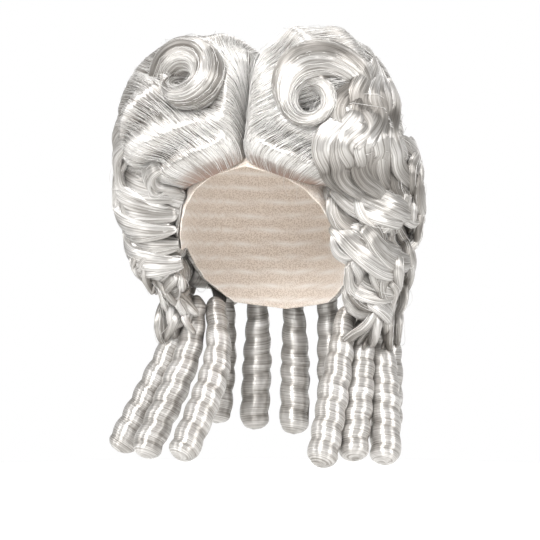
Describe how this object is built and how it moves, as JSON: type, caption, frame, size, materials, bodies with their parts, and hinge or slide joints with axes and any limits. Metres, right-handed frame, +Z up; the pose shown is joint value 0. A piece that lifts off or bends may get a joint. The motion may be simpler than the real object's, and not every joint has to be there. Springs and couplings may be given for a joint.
{
  "type": "powdered wig",
  "caption": "Tall heart-shaped powdered wig on a net cap, with rolled curls at the crest, sides and back and wound ringlets that hang to the shoulders.",
  "frame": {"origin": "inside of the cap at the crown, where the wearer's head carries it", "axes": "+Z up, -Y the way the wearer faces, +X the wearer's left"},
  "size_m": [0.2943, 0.2519, 0.3954],
  "materials": {
    "hair_fibre": "silky silver-white synthetic hair fibre",
    "lace_net": "matte skin-coloured net and lace"
  },
  "bodies": {
    "root": {"lace_cap": "lace_net", "under_hair": "hair_fibre", "crest_curl_right": "hair_fibre", "crest_curl_left": "hair_fibre", "side_curl_right_1": "hair_fibre", "side_curl_right_2": "hair_fibre", "side_curl_right_3": "hair_fibre", "side_curl_right_4": "hair_fibre", "side_curl_right_5": "hair_fibre", "side_curl_right_6": "hair_fibre", "side_curl_left_1": "hair_fibre", "side_curl_left_2": "hair_fibre", "side_curl_left_3": "hair_fibre", "side_curl_left_4": "hair_fibre", "side_curl_left_5": "hair_fibre", "side_curl_left_6": "hair_fibre", "side_curl_left_7": "hair_fibre", "back_curl_1_1": "hair_fibre", "back_curl_1_2": "hair_fibre", "back_curl_1_3": "hair_fibre", "back_curl_1_4": "hair_fibre", "back_curl_2_1": "hair_fibre", "back_curl_2_2": "hair_fibre", "back_curl_2_3": "hair_fibre", "back_curl_3_1": "hair_fibre", "back_curl_3_2": "hair_fibre", "back_curl_3_3": "hair_fibre", "back_curl_3_4": "hair_fibre", "ringlet_right_1": "hair_fibre", "ringlet_right_2": "hair_fibre", "ringlet_right_3": "hair_fibre", "ringlet_right_4": "hair_fibre", "ringlet_left_1": "hair_fibre", "ringlet_left_2": "hair_fibre", "ringlet_left_3": "hair_fibre", "ringlet_left_4": "hair_fibre", "nape_ringlet_1": "hair_fibre", "nape_ringlet_2": "hair_fibre", "nape_ringlet_3": "hair_fibre", "nape_ringlet_4": "hair_fibre", "nape_ringlet_5": "hair_fibre", "lobe_right": "hair_fibre", "lobe_left": "hair_fibre"}
  },
  "joints": []
}
